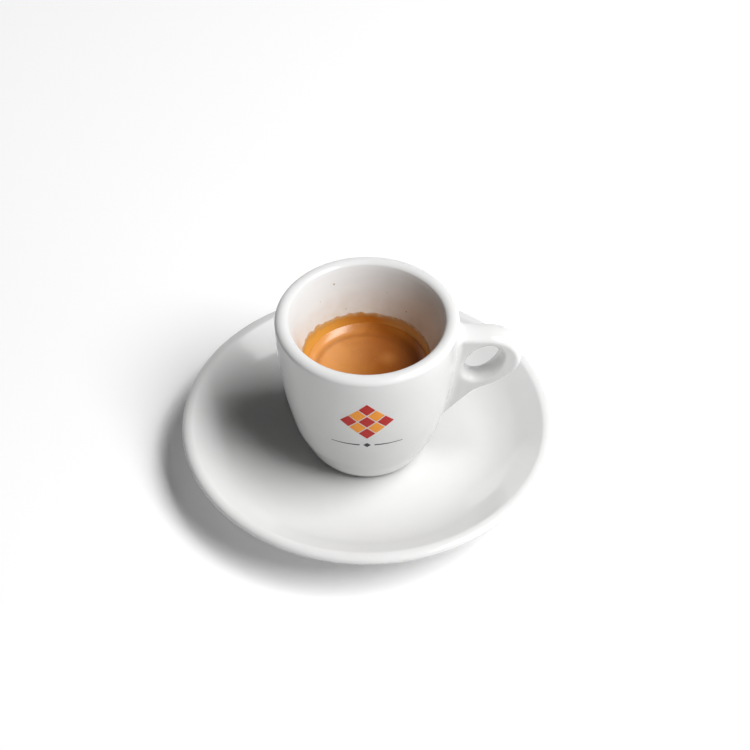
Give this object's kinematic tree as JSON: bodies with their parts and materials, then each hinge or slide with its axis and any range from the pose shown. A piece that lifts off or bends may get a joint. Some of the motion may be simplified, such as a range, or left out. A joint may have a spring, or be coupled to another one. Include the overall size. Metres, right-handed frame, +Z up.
{
  "type": "espresso shot in cup and saucer",
  "caption": "Espresso with crema in a thick-walled white porcelain cup with an ear-shaped side handle, standing on a round coupe saucer.",
  "frame": {"origin": "on the floor under the middle of the saucer, which is also the axis of the cup", "axes": "+Z up, +X along the cup's handle, -Y towards the side the picture shows"},
  "size_m": [0.125, 0.125, 0.065],
  "materials": {
    "saucer_porcelain": "white gloss glaze",
    "cup_porcelain": "white gloss glaze",
    "crema": "wet hazel-brown crema, softly glossy"
  },
  "bodies": {
    "root": {"saucer": "saucer_porcelain", "cup": "cup_porcelain", "espresso": "crema"}
  },
  "joints": []
}
